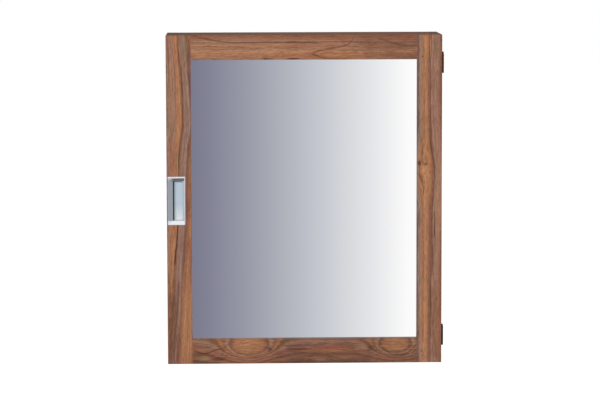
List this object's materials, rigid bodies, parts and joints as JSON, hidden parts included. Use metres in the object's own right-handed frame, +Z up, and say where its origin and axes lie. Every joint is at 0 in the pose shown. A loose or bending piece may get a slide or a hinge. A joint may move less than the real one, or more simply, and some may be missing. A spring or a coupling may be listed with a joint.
{
  "type": "bathroom mirror cabinet",
  "caption": "Wall-hung teak bathroom cabinet with a framed mirror door on side hinges, a flush finger pull, shelves on pins and hanging rails for wall screws.",
  "frame": {"origin": "centre of the cabinet's back, in the plane of the wall", "axes": "+Z up along the cabinet's height, +Y into the wall, -Y out through the mirror door, +X towards the hinges"},
  "size_m": [0.505, 0.1234, 0.6],
  "materials": {
    "oiled_teak": "oiled, satin",
    "plywood": "sanded",
    "beech": "plain",
    "silvered_glass": "polished",
    "satin_steel": "satin",
    "dark_bronze": "dark patina",
    "zinc_steel": "zinc plated",
    "nickel_steel": "nickel plated",
    "brown_plastic": "moulded",
    "ferrite": "sintered",
    "clear_rubber": "moulded"
  },
  "bodies": {
    "cabinet": {"left_side_panel": "oiled_teak", "right_side_panel": "oiled_teak", "top_panel": "oiled_teak", "bottom_panel": "oiled_teak", "back_panel": "plywood", "upper_hanging_rail": "oiled_teak", "lower_hanging_rail": "oiled_teak", "carcase_dowels": "beech", "back_panel_screws": "zinc_steel", "upper_shelf": "oiled_teak", "lower_shelf": "oiled_teak", "shelf_pins": "nickel_steel", "upper_hinge_cabinet_leaf": "dark_bronze", "lower_hinge_cabinet_leaf": "dark_bronze", "upper_hinge_pin": "dark_bronze", "lower_hinge_pin": "dark_bronze", "cabinet_hinge_screws": "dark_bronze", "catch_housing": "brown_plastic", "catch_magnet": "ferrite", "catch_poles": "zinc_steel", "catch_screws": "zinc_steel", "door_bumpers": "clear_rubber"},
    "door": {"left_stile": "oiled_teak", "right_stile": "oiled_teak", "top_rail": "oiled_teak", "bottom_rail": "oiled_teak", "mirror_glass": "silvered_glass", "backing_board": "plywood", "top_bead": "oiled_teak", "right_bead": "oiled_teak", "bottom_bead": "oiled_teak", "left_bead": "oiled_teak", "bead_brads": "zinc_steel", "flush_pull": "satin_steel", "pull_screws": "zinc_steel", "upper_hinge_door_leaf": "dark_bronze", "lower_hinge_door_leaf": "dark_bronze", "door_hinge_screws": "dark_bronze", "strike_plate": "zinc_steel", "strike_screw": "zinc_steel"}
  },
  "joints": [
    {"name": "door_swing", "type": "hinge", "parent": "cabinet", "child": "door", "pos_m": [0.25224, -0.0992, 0], "axis": [0, 0, 1], "range_deg": [0, 180]}
  ]
}
